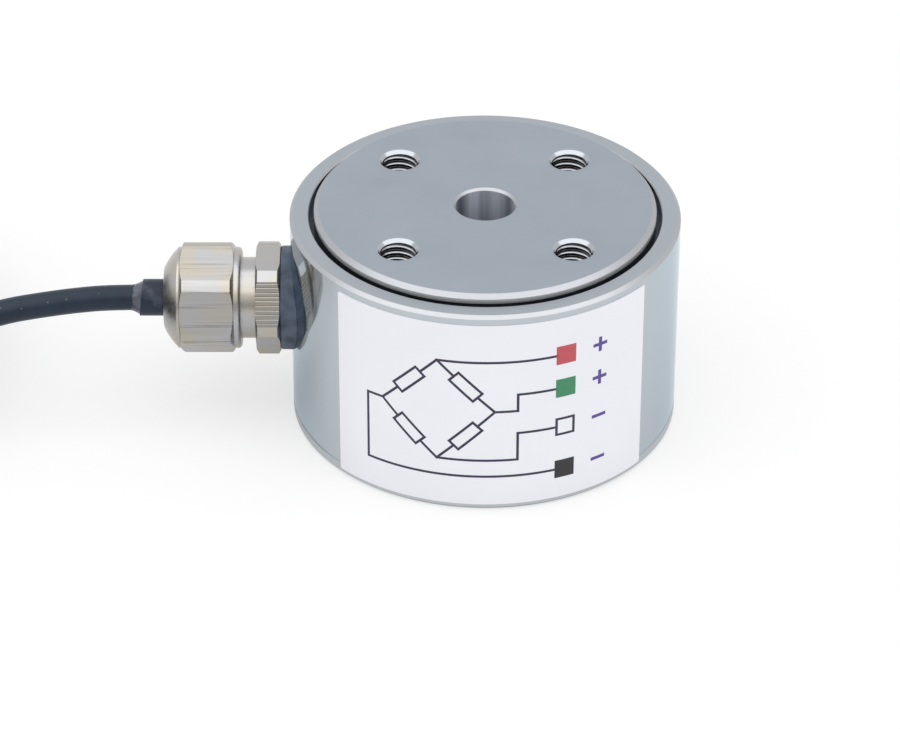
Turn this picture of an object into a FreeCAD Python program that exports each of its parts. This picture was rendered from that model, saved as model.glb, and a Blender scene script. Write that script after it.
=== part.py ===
import FreeCAD, Part
import math
import os

# A flange load cell: a one-piece spring element with two bolting flanges, a thin housing sleeve round it,
# and a cable gland in the sleeve's wall. Millimetres, Z along the load axis, base face at Z = 0 and the
# gland towards -X.

V = FreeCAD.Vector
FAR = 200.0

# Body
body_diameter = 45.0
lip_height = 1.4
sleeve_height = 24.6
sleeve_wall = 2.2
flange_rise = 1.0
flange_gap = 0.6
foot_thickness = 8.0
head_thickness = 8.0
head_chamfer = 0.5
sleeve_chamfer = 0.4
foot_chamfer = 0.3
edge_break = 0.12

# Load column between the two flanges
column_diameter = 16.0
column_flats = 12.0
column_sides = 4
column_fillet = 1.5
bore_diameter = 6.8
bore_chamfer = 0.27

# Tapped holes, four in each flange, at the thread's outer diameter
bolt_circle_diameter = 28.0
bolt_count = 4
thread_diameter = 5.0
countersink_width = 0.1
drill_tip_angle = 118.0
hole_floor = 0.6

# Seal bead in the ring gap round the loaded flange
bead_depth = 1.8
bead_height = 1.5

# Label on the sleeve's front, its angles counted from -Y towards +X
label_from = -47.3
label_to = 52.0
label_foot_margin = 0.75
label_top_margin = 1.15
label_thickness = 0.1
label_corner = 0.25

# Strain gauges and wiring board in the closed space round the column
gauge_width = 5.0
gauge_margin = 1.0
gauge_thickness = 0.15
gauge_wire = 0.3
gauge_wire_spacing = 2.4
board_thickness = 1.0
board_clearance = 0.3
board_rim = 1.8
resistor_length = 2.0
resistor_width = 1.25
resistor_height = 0.5
resistor_angles = (110.0, 135.0, 225.0, 250.0)

# Cable gland, its stations counted outwards from the sleeve
gland_above_middle = 0.55
stub_diameter = 8.0
stub_proud = 0.3
washer_diameter = 12.1
washer_crown = 1.2
washer_round = 0.3
hex_flats = 12.0
hex_corner_cut = 0.37
hex_chamfer_angle = 30.0
body_hex_length = 2.8
body_hex_turn = 54.2
body_hex_chamfer = 0.25
neck_diameter = 9.45
neck_length = 1.75
clamp_thread_length = 4.2
nut_collar_length = 0.7
nut_hex_length = 6.45
nut_hex_turn = 43.5
nut_hex_chamfer = 0.44
nut_shoulder = 0.2
nut_dome_length = 1.65
nut_dome_bulge = 0.12
nut_round_inset = 0.1
nut_face_diameter = 7.2
nut_edge_round = 0.45
nut_lip_length = 1.2
gland_bore_clearance = 0.2
seal_wall = 1.35
seal_length = 4.85
claw_clearance = 0.25
claw_grip_clearance = 0.15
claw_rim = 1.0
claw_tip_wall = 0.4
claw_slots = 6
claw_slot_width = 0.5

# Cable and the shrink sleeve that it wears through the gland
cable_diameter = 3.0
shrink_wall = 0.65
shrink_stickout = 2.75
shrink_end_tilt = -6.8
shrink_inside = 0.3
adhesive_length = 0.75
cable_overlap = 1.0
cable_stickin = 3.2
core_diameter = 0.8
core_circle_diameter = 1.7
core_reach = 2.5
core_places = ("shield", "red", "white", "green", "black")
core_pad_angles = {"red": 211.0, "white": 195.5, "shield": 180.0, "green": 164.5, "black": 149.0}

# Put-away cable: a tied coil beside the part, the loose end and its bare leads
coil_distance = 89.0
coil_sideways = 8.0
coil_columns = 6
coil_layers = 4
coil_inner_turn = 11.8
tie_thickness = 0.6
tie_width = 3.0
tie_angles = (50.0, 195.0)
tie_lock_depth = 3.0
tie_lock_width = 4.2
tie_lock_height = 4.6
tie_tail = 2.0
lead_diameter = 1.0
lead_tip_length = 4.0
lead_tip_diameter = 0.6
end_sleeve_diameter = 3.9
end_sleeve_length = 4.2
end_sleeve_proud = 0.8

# Route of the cable from inside the shrink sleeve to the coil's top layer
cable_route = [
    (-39.0, 0.0, 14.25),
    (-43.4, 0.0, 14.25),
    (-47.4, -0.35, 14.08),
    (-51.6, -1.05, 13.85),
    (-56.2, -2.0, 13.52),
    (-62.0, -4.6, 12.8),
    (-68.6, -10.2, 11.8),
    (-75.6, -15.2, 11.15),
]
# Route of the loose end from the coil's bottom layer to where its jacket stops
tail_route = [
    (-64.9, -4.8, 2.1),
    (-67.7, -11.2, 2.05),
    (-72.4, -16.6, 2.0),
    (-78.8, -20.8, 1.95),
    (-84.7, -22.8, 1.95),
]
# Routes of the bare leads from the jacket's end to their tinned tips
lead_routes = {
    "red": [
        (-84.99, -21.94, 2.24),
        (-88.68, -23.2, 2.24),
        (-94.7, -23.1, 1.0),
        (-102.0, -21.6, 0.5),
        (-109.0, -18.9, 0.5),
        (-115.2, -15.6, 0.5),
    ],
    "white": [
        (-84.88, -22.27, 1.18),
        (-88.57, -23.52, 1.18),
        (-94.6, -24.3, 0.5),
        (-102.0, -23.2, 0.5),
        (-109.4, -21.2, 0.5),
        (-116.2, -18.5, 0.5),
    ],
    "shield": [
        (-84.7, -22.8, 2.9),
        (-88.39, -24.05, 2.9),
        (-94.3, -25.5, 0.9),
        (-101.9, -24.8, 0.5),
        (-109.6, -23.5, 0.5),
        (-116.8, -21.6, 0.5),
    ],
    "green": [
        (-84.52, -23.33, 1.18),
        (-88.21, -24.58, 1.18),
        (-94.0, -26.6, 0.5),
        (-101.5, -26.4, 0.5),
        (-109.2, -25.7, 0.5),
        (-116.6, -24.6, 0.5),
    ],
    "black": [
        (-84.41, -23.66, 2.24),
        (-88.1, -24.91, 2.24),
        (-93.7, -27.8, 1.0),
        (-101.0, -28.0, 0.5),
        (-108.7, -27.8, 0.5),
        (-116.0, -27.2, 0.5),
    ],
}
bend_share = 0.45

# Sizes that follow from the ones above
body_radius = body_diameter / 2
sleeve_top = lip_height + sleeve_height
part_top = sleeve_top + flange_rise
label_high = sleeve_top - label_top_margin
gland_height = lip_height + sleeve_height / 2 + gland_above_middle
sleeve_bore = body_radius - sleeve_wall
head_radius = sleeve_bore - flange_gap
head_low = part_top - head_thickness
bore_radius = bore_diameter / 2
column_radius = column_diameter / 2
flats_low = foot_thickness + column_fillet
flats_high = head_low - column_fillet
gauge_middle = (flats_low + flats_high) / 2
gauge_height = flats_high - flats_low - 2 * gauge_margin
board_top = foot_thickness + board_thickness
board_inner = column_radius + column_fillet + board_clearance
board_outer = sleeve_bore - board_rim

shrink_diameter = cable_diameter + 2 * shrink_wall
seal_diameter = shrink_diameter + 2 * seal_wall
gland_bore = shrink_diameter / 2 + gland_bore_clearance
stub_end = sleeve_bore - stub_proud
hex_start = body_radius + washer_crown
neck_start = hex_start + body_hex_length
nut_start = neck_start + neck_length
clamp_end = nut_start + clamp_thread_length
nut_hex_start = nut_start + nut_collar_length
nut_hex_end = nut_hex_start + nut_hex_length
dome_start = nut_hex_end + nut_shoulder
nut_face = dome_start + nut_dome_length
shrink_end = nut_face + shrink_stickout
shrink_start = stub_end - shrink_inside
cable_joint = shrink_end - cable_overlap
cable_end = shrink_start - cable_stickin
core_pad_radius = cable_end - core_reach

coil_centre = V(-coil_distance, coil_sideways, 0)
coil_outer_turn = coil_inner_turn + (coil_columns - 1) * cable_diameter
coil_inner = coil_inner_turn - cable_diameter / 2
coil_outer = coil_outer_turn + cable_diameter / 2
coil_height = coil_layers * cable_diameter
coil_edge = cable_diameter / 2


def outline_face(outline):
    # Straight edges from point to point in the XZ plane; a pair of points is an arc's middle and end
    def at(point):
        return V(point[0], 0, point[1])

    edges = []
    here = outline[0]
    for step in outline[1:]:
        if isinstance(step[0], tuple):
            middle, end = step
            edges.append(Part.Arc(at(here), at(middle), at(end)).toShape())
        else:
            end = step
            edges.append(Part.LineSegment(at(here), at(end)).toShape())
        here = end
    # an outline that ends in an arc is closed already
    if not isinstance(outline[-1][0], tuple):
        edges.append(Part.LineSegment(at(here), at(outline[0])).toShape())
    return Part.Face(Part.Wire(edges))


def turned(outline):
    # A solid of revolution about Z from an outline of (radius, height) points
    return outline_face(outline).revolve(V(0, 0, 0), V(0, 0, 1), 360)


def ring(inner, outer, low, high):
    return turned([(inner, low), (outer, low), (outer, high), (inner, high)])


def round_bar(radius, low, high):
    return Part.makeCylinder(radius, high - low, V(0, 0, low))


def corner_arc(centre, radius, from_angle, to_angle):
    # The middle and end of a rounded corner, for an outline
    middle = math.radians((from_angle + to_angle) / 2)
    end = math.radians(to_angle)
    return (
        (centre[0] + radius * math.cos(middle), centre[1] + radius * math.sin(middle)),
        (centre[0] + radius * math.cos(end), centre[1] + radius * math.sin(end)),
    )


def round_section(inner, outer, low, high, radius):
    # Outline of a rectangle with rounded corners
    return [
        (inner + radius, low),
        (outer - radius, low),
        corner_arc((outer - radius, low + radius), radius, -90, 0),
        (outer, high - radius),
        corner_arc((outer - radius, high - radius), radius, 0, 90),
        (inner + radius, high),
        corner_arc((inner + radius, high - radius), radius, 90, 180),
        (inner, low + radius),
        corner_arc((inner + radius, low + radius), radius, 180, 270),
    ]


def about_z(shape, angle, centre=V(0, 0, 0)):
    copy = shape.copy()
    copy.rotate(centre, V(0, 0, 1), angle)
    return copy


def on_gland(shape):
    # Lays a solid made about Z along the gland's axis, its height becoming the distance from the load axis
    copy = shape.copy()
    copy.rotate(V(0, 0, 0), V(0, 1, 0), -90)
    copy.translate(V(0, 0, gland_height))
    return copy


def polar(radius, angle, height):
    return V(radius * math.cos(math.radians(angle)), radius * math.sin(math.radians(angle)), height)


def section_area(diameter):
    return math.pi * diameter ** 2 / 4


def tube(route, diameter, label):
    # A round tube along straight runs joined by tangent arcs, each as large as its two runs allow
    points = [V(*point) for point in route]
    edges = []
    radii = []
    here = points[0]
    for before, corner, after in zip(points, points[1:], points[2:]):
        into = (corner - before).normalize()
        out = (after - corner).normalize()
        half_turn = into.getAngle(out) / 2
        reach = bend_share * min(corner.distanceToPoint(before), corner.distanceToPoint(after))
        radius = reach / math.tan(half_turn)
        inward = (out - into).normalize()
        middle = corner + inward * (radius / math.cos(half_turn) - radius)
        edges.append(Part.LineSegment(here, corner - into * reach).toShape())
        edges.append(Part.Arc(corner - into * reach, middle, corner + out * reach).toShape())
        here = corner + out * reach
        radii.append(round(radius, 1))
    edges.append(Part.LineSegment(here, points[-1]).toShape())
    path = Part.Wire(edges)
    section = Part.Wire(Part.makeCircle(diameter / 2, points[0], points[1] - points[0]))
    solid = path.makePipeShell([section], True, False)
    filled = solid.Volume / (section_area(diameter) * path.Length)
    print(f"{label}: length {path.Length:.1f}, bend radii {radii}, volume over section x length {filled:.4f}")
    return solid


def tapped_hole(depth):
    # Tool for one blind hole that opens upwards at Z = 0, with a drilled tip and a small countersink
    radius = thread_diameter / 2
    mouth = radius + countersink_width
    tip = radius / math.tan(math.radians(drill_tip_angle / 2))
    over = mouth
    return turned([
        (0, over),
        (mouth + over, over),
        (radius, radius - mouth),
        (radius, tip - depth),
        (0, -depth),
    ])


def round_column(shape):
    # One copy for each flat of the column
    return [about_z(shape, 360 / column_sides * side) for side in range(column_sides)]


def spring_element():
    spool = turned([
        (bore_radius + bore_chamfer, 0),
        (body_radius - foot_chamfer, 0),
        (body_radius, foot_chamfer),
        (body_radius, lip_height - edge_break),
        (body_radius - edge_break, lip_height),
        (sleeve_bore, lip_height),
        (sleeve_bore, foot_thickness),
        (column_radius + column_fillet, foot_thickness),
        corner_arc((column_radius + column_fillet, flats_low), column_fillet, 270, 180),
        (column_radius, flats_high),
        corner_arc((column_radius + column_fillet, flats_high), column_fillet, 180, 90),
        (head_radius, head_low),
        (head_radius, part_top - head_chamfer),
        (head_radius - head_chamfer, part_top),
        (bore_radius + bore_chamfer, part_top),
        (bore_radius, part_top - bore_chamfer),
        (bore_radius, bore_chamfer),
    ])
    flat = Part.makeBox(column_radius, column_diameter, flats_high - flats_low)
    flat.translate(V(column_flats / 2, -column_radius, flats_low))
    head_hole = tapped_hole(head_thickness - hole_floor)
    foot_hole = tapped_hole(foot_thickness - hole_floor)
    foot_hole.rotate(V(0, 0, 0), V(1, 0, 0), 180)
    cuts = round_column(flat)
    for bolt in range(bolt_count):
        place = polar(bolt_circle_diameter / 2, 360 / bolt_count * (bolt + 0.5), 0)
        cuts.append(head_hole.translated(place + V(0, 0, part_top)))
        cuts.append(foot_hole.translated(place))
    return spool.cut(cuts)


def housing_sleeve():
    tube_wall = turned([
        (sleeve_bore, lip_height),
        (body_radius - edge_break, lip_height),
        (body_radius, lip_height + edge_break),
        (body_radius, sleeve_top - sleeve_chamfer),
        (body_radius - sleeve_chamfer, sleeve_top),
        (sleeve_bore + edge_break, sleeve_top),
        (sleeve_bore, sleeve_top - edge_break),
    ])
    port = on_gland(round_bar(stub_diameter / 2, 0, body_diameter))
    return tube_wall.cut(port)


def gap_bead():
    high = sleeve_top - bead_depth
    return ring(head_radius, sleeve_bore, high - bead_height, high)


def label():
    outline = [
        (body_radius, label_foot_margin),
        (body_radius + label_thickness, label_foot_margin),
        (body_radius + label_thickness, label_high),
        (body_radius, label_high),
    ]
    sheet = outline_face(outline).revolve(V(0, 0, 0), V(0, 0, 1), label_to - label_from)
    corners = [edge for edge in sheet.Edges if edge.Length < 2 * label_thickness]
    return about_z(sheet.makeFillet(label_corner, corners), label_from - 90)


def strain_gauges():
    pad = Part.makeBox(gauge_thickness, gauge_width, gauge_height)
    pad.translate(V(column_flats / 2, -gauge_width / 2, gauge_middle - gauge_height / 2))
    return Part.makeCompound(round_column(pad))


def terminal_board():
    # A horseshoe that slips in round the column from -X
    plate = round_bar(board_outer, foot_thickness, board_top)
    hole = round_bar(board_inner, foot_thickness, board_top)
    slot = Part.makeBox(board_outer, 2 * board_inner, board_thickness, V(0, -board_inner, foot_thickness))
    return plate.cut([hole, slot])


def trim_resistors():
    chip = Part.makeBox(resistor_width, resistor_length, resistor_height)
    chip.translate(V((board_inner + board_outer - resistor_width) / 2, -resistor_length / 2, board_top))
    return Part.makeCompound([about_z(chip, angle) for angle in resistor_angles])


def gauge_wires():
    # Two wires from each gauge's lower edge to the board; those on +X go round to the board's horns
    face = column_flats / 2 + gauge_thickness
    height = gauge_middle - gauge_height / 4
    pad = board_inner + gauge_wire_spacing / 2
    beside = column_radius + 2 * gauge_wire
    wires = []
    for edge in (-gauge_wire_spacing / 2, gauge_wire_spacing / 2):
        short = [(face, edge, height), (pad, edge, height), (pad, edge, board_top)]
        side = math.copysign(pad, edge)
        long = [(face, edge, height), (beside, edge, height), (beside, side, height)]
        long.append((beside, side, board_top))
        wires.append(tube(long, gauge_wire, "gauge wire round the column"))
        wires.extend(round_column(tube(short, gauge_wire, "gauge wire"))[1:])
    return Part.makeCompound(wires)


def core(place, pad_angle, label_text):
    # One insulated core from the cable's end to its pad on the board
    round_angle = math.radians(90 + 360 / len(core_places) * place)
    across = core_circle_diameter / 2 * math.cos(round_angle)
    up = gland_height + core_circle_diameter / 2 * math.sin(round_angle)
    pad = polar(core_pad_radius, pad_angle, board_top)
    fan = (cable_end + core_pad_radius) / 2
    drop = (up + 2 * board_top) / 3
    route = [
        (-cable_end, across, up),
        (-fan, across, up),
        (pad.x, pad.y, drop),
        (pad.x, pad.y, board_top),
    ]
    return tube(route, core_diameter, label_text)


def hexagon(start, end, corner_rise, chamfer):
    # A hexagonal bar along Z with its corners turned down and both ends chamfered by a cone; laid on the gland,
    # one corner on the -Y side is that many degrees above level
    sharp = hex_flats / math.sqrt(3)
    points = [polar(sharp, corner_rise - 90 + 60 * side, start) for side in range(7)]
    bar = Part.Face(Part.makePolygon(points)).extrude(V(0, 0, end - start))
    corner = sharp - hex_corner_cut
    inner = corner - chamfer / math.tan(math.radians(hex_chamfer_angle))
    envelope = turned([
        (0, start),
        (inner, start),
        (corner, start + chamfer),
        (corner, end - chamfer),
        (inner, end),
        (0, end),
    ])
    return bar.common(envelope)


def gland_body():
    shell = round_bar(stub_diameter / 2, stub_end, neck_start).fuse([
        hexagon(hex_start, neck_start, body_hex_turn, body_hex_chamfer),
        round_bar(neck_diameter / 2, neck_start, clamp_end),
    ])
    bore = round_bar(gland_bore, stub_end, clamp_end)
    pocket = round_bar(seal_diameter / 2, clamp_end - seal_length, clamp_end)
    return on_gland(shell.removeSplitter().cut([bore, pocket]))


def gland_washer():
    # Rubber, pressed on one side to the sleeve's round wall
    outer = washer_diameter / 2
    disc = turned([
        (stub_diameter / 2, 0),
        (outer, 0),
        (outer, hex_start - washer_round),
        corner_arc((outer - washer_round, hex_start - washer_round), washer_round, 0, 90),
        (stub_diameter / 2, hex_start),
    ])
    return on_gland(disc).cut(round_bar(body_radius, -FAR, FAR))


def gland_seal():
    return on_gland(ring(shrink_diameter / 2, seal_diameter / 2, clamp_end - seal_length, clamp_end))


def nut_cone():
    # Inside cone of the dome nut: radius and station of its wide and narrow ends
    wide = neck_diameter / 2
    end = nut_face - nut_lip_length
    return wide, end - (wide - gland_bore), gland_bore, end


def gland_claw():
    # Clamping collar with sprung fingers, which the nut's cone presses inwards
    wide, cone_start = nut_cone()[:2]
    bore = shrink_diameter / 2 + claw_grip_clearance
    outer = wide - claw_clearance
    rim_end = clamp_end + claw_rim
    tip = bore + claw_tip_wall
    # the cone of the fingers runs beside the nut's cone, the clearance inside it
    slope_start = max(rim_end, cone_start)
    slope_end = slope_start + outer - tip
    collar = turned([
        (bore, clamp_end),
        (outer, clamp_end),
        (outer, slope_start),
        (tip, slope_end),
        (bore, slope_end),
    ])
    slot = Part.makeBox(FAR, claw_slot_width, FAR, V(0, -claw_slot_width / 2, rim_end))
    return on_gland(collar.cut([about_z(slot, 360 / claw_slots * index) for index in range(claw_slots)]))


def gland_nut():
    outer = hex_flats / 2 - nut_round_inset
    face = nut_face_diameter / 2
    slope = math.hypot(outer - face, nut_dome_length)
    dome_middle = (
        (outer + face) / 2 + nut_dome_bulge * nut_dome_length / slope,
        (dome_start + nut_face) / 2 + nut_dome_bulge * (outer - face) / slope,
    )
    shell = turned([
        (0, nut_start),
        (outer - nut_edge_round, nut_start),
        corner_arc((outer - nut_edge_round, nut_start + nut_edge_round), nut_edge_round, -90, 0),
        (outer, dome_start),
        (dome_middle, (face, nut_face)),
        (0, nut_face),
    ])
    bar = hexagon(nut_hex_start, nut_hex_end, nut_hex_turn, nut_hex_chamfer)
    solid = shell.fuse(bar).removeSplitter()
    wide, cone_start, narrow, cone_end = nut_cone()
    hollow = turned([
        (0, nut_start),
        (wide, nut_start),
        (wide, cone_start),
        (narrow, cone_end),
        (narrow, nut_face),
        (0, nut_face),
    ])
    return on_gland(solid.cut(hollow))


def shrink_trim():
    # What lies beyond the shrink sleeve's slanting end
    block = Part.makeBox(FAR, FAR, FAR, V(-FAR / 2, -FAR / 2, 0))
    block.rotate(V(0, 0, 0), V(0, 1, 0), -shrink_end_tilt)
    return block.translated(V(0, 0, shrink_end))


def heat_shrink():
    sleeve = ring(cable_diameter / 2, shrink_diameter / 2, shrink_start, shrink_end + shrink_diameter)
    return on_gland(sleeve.cut(shrink_trim()))


def sleeve_adhesive():
    # Glue squeezed out of the shrink sleeve's end, thinning out on the cable
    inner = cable_diameter / 2
    outer = shrink_diameter / 2 - edge_break
    bead = turned([
        (inner, shrink_end - shrink_diameter),
        (outer, shrink_end - shrink_diameter),
        (outer, shrink_end),
        (inner + edge_break, shrink_end + adhesive_length),
        (inner, shrink_end + adhesive_length),
    ])
    return on_gland(bead.common(shrink_trim()))


def cable_inner_end():
    return on_gland(round_bar(cable_diameter / 2, cable_end, cable_joint))


def cable_coil():
    outline = round_section(coil_inner, coil_outer, tie_thickness, tie_thickness + coil_height, coil_edge)
    return turned(outline).translated(coil_centre)


def to_coil(shape):
    # Stops a tube at the coil's round outside
    return shape.cut(round_bar(coil_outer, -FAR, FAR).translated(coil_centre))


def coil_ties(coil):
    # Straps drawn tight round the turns, each with its lock and a trimmed end
    low = tie_thickness
    high = tie_thickness + coil_height
    inside = coil_inner - tie_thickness
    outside = coil_outer + tie_thickness
    loop = outline_face(round_section(inside, outside, 0, high + tie_thickness, coil_edge + tie_thickness))
    hole = outline_face(round_section(coil_inner, coil_outer, low, high, coil_edge))
    strap = loop.cut(hole).extrude(V(0, tie_width, 0))
    strap.translate(V(0, -tie_width / 2, 0))
    lock_low = (low + high - tie_lock_height) / 2
    lock = Part.makeBox(tie_lock_depth, tie_lock_width, tie_lock_height)
    lock.translate(V(coil_outer, -tie_lock_width / 2, lock_low))
    end = Part.makeBox(tie_thickness, tie_width, tie_tail)
    end.translate(V(coil_outer + tie_lock_depth / 2, -tie_width / 2, lock_low + tie_lock_height))
    tie = strap.fuse([lock, end]).removeSplitter().translated(coil_centre)
    return Part.makeCompound([about_z(tie, angle, coil_centre).cut(coil) for angle in tie_angles])


def end_sleeve():
    end = V(*tail_route[-1])
    along = (end - V(*tail_route[-2])).normalize()
    start = end - along * end_sleeve_length
    length = end_sleeve_length + end_sleeve_proud
    outer = Part.makeCylinder(end_sleeve_diameter / 2, length, start, along)
    return outer.cut(Part.makeCylinder(cable_diameter / 2, length, start, along))


def lead_tips():
    tips = []
    for route in lead_routes.values():
        end = V(*route[-1])
        along = (end - V(*route[-2])).normalize()
        tips.append(Part.makeCylinder(lead_tip_diameter / 2, lead_tip_length, end, along))
    return Part.makeCompound(tips)


coil = cable_coil()
parts = {
    "spring_element": spring_element(),
    "housing_sleeve": housing_sleeve(),
    "gap_seal": gap_bead(),
    "label": label(),
    "strain_gauges": strain_gauges(),
    "terminal_board": terminal_board(),
    "trim_resistors": trim_resistors(),
    "gauge_wires": gauge_wires(),
    "gland_body": gland_body(),
    "gland_washer": gland_washer(),
    "gland_seal": gland_seal(),
    "gland_claw": gland_claw(),
    "gland_nut": gland_nut(),
    "heat_shrink": heat_shrink(),
    "sleeve_adhesive": sleeve_adhesive(),
    "cable_inner_end": cable_inner_end(),
    "cable_run": to_coil(tube(cable_route, cable_diameter, "cable run")),
    "cable_coil": coil,
    "coil_ties": coil_ties(coil),
    "cable_tail": to_coil(tube(tail_route, cable_diameter, "cable tail")),
    "end_sleeve": end_sleeve(),
    "lead_tips": lead_tips(),
}
for place, colour in enumerate(core_places):
    parts[f"core_{colour}"] = core(place, core_pad_angles[colour], f"core {colour}")
for colour, route in lead_routes.items():
    parts[f"lead_{colour}"] = tube(route, lead_diameter, f"lead {colour}")

os.makedirs("parts", exist_ok=True)
for name, shape in parts.items():
    print(f"{name}: {len(shape.Solids)} solid(s), valid {shape.isValid()}, volume {shape.Volume:.2f}")
    shape.exportStep(f"parts/{name}.step")
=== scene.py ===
import math
from functools import partial

import bpy
from mathutils import Matrix, Vector


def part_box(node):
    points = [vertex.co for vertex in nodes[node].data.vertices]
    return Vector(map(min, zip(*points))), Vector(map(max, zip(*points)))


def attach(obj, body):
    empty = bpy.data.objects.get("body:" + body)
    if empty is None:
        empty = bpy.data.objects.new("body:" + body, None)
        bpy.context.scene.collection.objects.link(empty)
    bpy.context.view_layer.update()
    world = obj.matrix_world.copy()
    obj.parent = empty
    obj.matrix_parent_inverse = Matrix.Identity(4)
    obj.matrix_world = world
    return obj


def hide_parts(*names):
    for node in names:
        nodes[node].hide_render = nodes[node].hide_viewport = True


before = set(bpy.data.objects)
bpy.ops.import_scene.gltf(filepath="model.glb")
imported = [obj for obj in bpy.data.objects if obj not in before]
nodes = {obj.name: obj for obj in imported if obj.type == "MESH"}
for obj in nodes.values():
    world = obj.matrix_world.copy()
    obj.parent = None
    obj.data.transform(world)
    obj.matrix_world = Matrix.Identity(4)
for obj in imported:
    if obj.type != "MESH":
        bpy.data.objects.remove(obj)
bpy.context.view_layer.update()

mm = 0.001
print("frame: ", len(nodes), "nodes")


def hexColour(text):
    # sRGB hex to linear
    channels = [int(text[i:i + 2], 16) / 255 for i in (1, 3, 5)]
    linear = [c / 12.92 if c <= 0.04045 else ((c + 0.055) / 1.055) ** 2.4 for c in channels]
    return (*linear, 1.0)


def addNode(tree, kind, inputs=None, **settings):
    # one node with its settings, a shader node where the kind is short; an input takes a value,
    # a hex colour, a socket to link, or a node, which stands for its first output in use
    node = tree.nodes.new(kind if "Node" in kind else f"ShaderNode{kind}")
    for name, value in settings.items():
        setattr(node, name, value)
    for name, value in (inputs or {}).items():
        socket = node.inputs[name] if isinstance(name, int) else next(
            s for s in node.inputs if s.enabled and s.name == name)
        if isinstance(value, bpy.types.Node):
            value = next(s for s in value.outputs if s.enabled)
        if isinstance(value, bpy.types.NodeSocket):
            tree.links.new(value, socket)
        else:
            isHex = isinstance(value, str) and value.startswith("#")
            socket.default_value = hexColour(value) if isHex else value
    return node


def newObject(name, data):
    obj = bpy.data.objects.new(name, data)
    bpy.context.scene.collection.objects.link(obj)
    return obj


def newMesh(name, vertices, faces, material):
    mesh = bpy.data.meshes.new(name)
    mesh.from_pydata(vertices, [], faces)
    mesh.materials.append(material)
    return newObject(name, mesh)


def nodeAdder(owner):
    # clears a new material or world and gives the function that adds nodes to it
    owner.use_nodes = True
    owner.node_tree.nodes.clear()
    return partial(addNode, owner.node_tree)


def newMaterial(name):
    material = bpy.data.materials.new(name)
    add = nodeAdder(material)
    return material, add, add("TexCoord").outputs["Object"]


def finished(material, shaderInputs, height=None, depthMm=0.0, edgeMm=0.0):
    # ends a material: a height pattern as bump, over sharp edges that are softened by a small radius
    add = partial(addNode, material.node_tree)
    if height is not None:
        bump = {"Height": height, "Strength": 1.0, "Distance": depthMm * mm}
        if edgeMm:
            bump["Normal"] = add("Bevel", {"Radius": edgeMm * mm}, samples=4)
        shaderInputs["Normal"] = add("Bump", bump)
    shader = add("BsdfPrincipled", shaderInputs)
    add("OutputMaterial", {"Surface": shader})
    return material


def perMm(sizeMm):
    # texture scale that gives features of about this size
    return 1 / (sizeMm * mm)


def deepened(text, share):
    # a hex colour with its channels cut to this share
    return "#" + "".join(f"{int(int(text[i:i + 2], 16) * share):02X}" for i in (1, 3, 5))


def twoTone(name, first, second, look, patternMm, detail, **relief):
    # a plain material, in which one noise pattern gives both the shade and the relief
    material, add, place = newMaterial(name)
    pattern = add("TexNoise", {"Vector": place, "Scale": perMm(patternMm), "Detail": detail})
    colour = add("Mix", {"Factor": pattern, "A": first, "B": second}, data_type="RGBA")
    return finished(material, {"Base Color": colour, **look}, pattern, **relief)


def facingUp(add):
    # how far the surface faces up, 1 for level and 0 for upright
    normal = add("NewGeometry").outputs["Normal"]
    return add("SeparateXYZ", {0: normal}).outputs["Z"]


def turnedLines(add, place, spacingMm):
    # lathe marks: rings on an end face, lines round a side, both from radius plus height
    parts = add("SeparateXYZ", {0: place}).outputs
    across = add("CombineXYZ", {0: parts[0], 1: parts[1]})
    radius = add("VectorMath", {0: across}, operation="LENGTH")
    along = add("Math", {0: radius, 1: parts[2]}, operation="ADD")
    return add("TexNoise", {"W": along, "Scale": perMm(spacingMm), "Detail": 3.0}, noise_dimensions="1D")


# matt nickel plate on ground steel: an even blue-grey satin with slow clouds in it
def mattNickel(add, place):
    clouds = add("TexNoise", {"Vector": place, "Scale": perMm(7), "Detail": 3.0})
    plated = add("Mix", {"Factor": clouds, "A": "#969FAA", "B": "#A3AAB3"}, data_type="RGBA")
    grain = add("TexNoise", {"Vector": place, "Scale": perMm(0.3), "Detail": 2.0})
    satin = add("MapRange", {"Value": grain, "To Min": 0.3, "To Max": 0.44})
    return plated, satin, grain


chamfer = {"up": 0.7071, "spread": 0.15}  # how far a 45 degree cut faces up
flange = {  # millimetres
    "gapTop": 25.95, "foot": 20.0,  # heights of the ring gap's top and of the loaded flange's foot
    "boreEdge": 3.6,  # what is nearer to the axis lies in the bore
    "boreSideShadeSeed": 53.1,  # of the bore's broad streaks, picked so that they make the bore's sides darker: painted shade
}
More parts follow.
